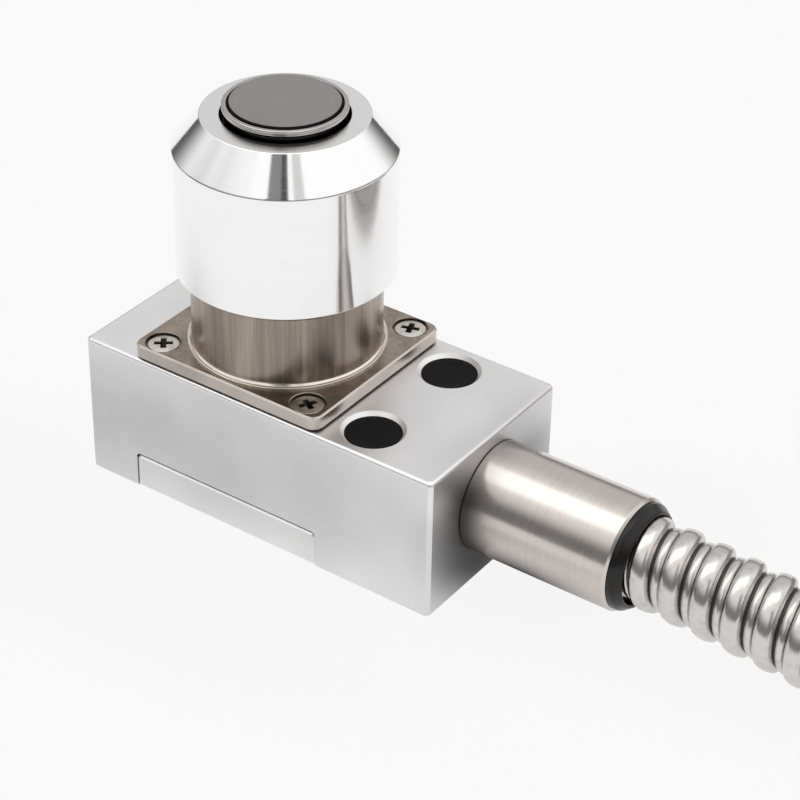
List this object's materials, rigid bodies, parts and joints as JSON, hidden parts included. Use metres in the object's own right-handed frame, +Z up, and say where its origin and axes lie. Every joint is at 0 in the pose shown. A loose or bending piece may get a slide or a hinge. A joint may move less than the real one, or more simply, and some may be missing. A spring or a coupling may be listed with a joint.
{
  "type": "tool setter",
  "caption": "Tool setter with a sprung flat contact in a capped cylindrical sensor head, flange-mounted on a rectangular base block, with an armoured conduit led out of its end.",
  "frame": {"origin": "on the base block's underside, midway between its two mounting holes", "axes": "+Z up, the way the contact faces; +X along the block towards the conduit; +Y across the block, along the row of mounting holes"},
  "size_m": [0.3164, 0.2225, 0.0799],
  "materials": {
    "anodised_aluminium": "satin natural anodised",
    "polished_aluminium": "turned and polished",
    "stainless_steel": "turned, brushed",
    "spring_steel": "plain",
    "bronze": "turned bearing bronze",
    "carbide": "lapped tungsten carbide",
    "black_rubber": "matt",
    "black_plastic": "moulded",
    "green_plastic": "moulded",
    "circuit_board": "solder mask",
    "cable_jacket": "smooth sheath",
    "plated_brass": "nickel plated",
    "gold_pins": "plated"
  },
  "bodies": {
    "base": {"base_block": "anodised_aluminium", "hole_plug_near": "black_rubber", "hole_plug_far": "black_rubber", "bottom_cover": "anodised_aluminium", "cover_gasket": "black_rubber", "cover_screws": "stainless_steel", "flange_gasket": "black_rubber", "sensor_housing": "stainless_steel", "spigot_seal_ring": "black_rubber", "flange_screws": "stainless_steel", "protective_cap": "polished_aluminium", "cap_seal_ring": "black_rubber", "guide_bush": "bronze", "lower_guide": "bronze", "guide_circlip": "spring_steel", "return_spring": "spring_steel", "rubber_boot": "black_rubber", "boot_clamp": "stainless_steel", "sensor_board": "circuit_board", "photo_interrupter": "black_plastic", "board_screws": "stainless_steel", "terminal_block": "green_plastic", "lead_wires": "cable_jacket", "signal_cable": "cable_jacket", "cable_seal": "black_rubber", "tube_washer": "black_rubber", "cable_tube": "stainless_steel", "conduit_ring": "black_rubber", "conduit_ferrule": "black_plastic", "conduit": "stainless_steel", "conduit_coil": "stainless_steel", "connector_body": "plated_brass", "connector_nut": "plated_brass", "connector_insert": "black_plastic", "connector_pins": "gold_pins"},
    "plunger": {"plunger": "stainless_steel", "contact_disc": "carbide", "contact_ring": "black_rubber", "stop_collar": "stainless_steel", "shutter_blade": "spring_steel"}
  },
  "joints": [
    {"name": "contact_press", "type": "slide", "parent": "base", "child": "plunger", "axis": [0, 0, -1], "range_m": [0, 0.005], "stiffness_N_per_m": 200, "springref_m": -0.01, "deforming": ["return_spring", "rubber_boot"]}
  ]
}
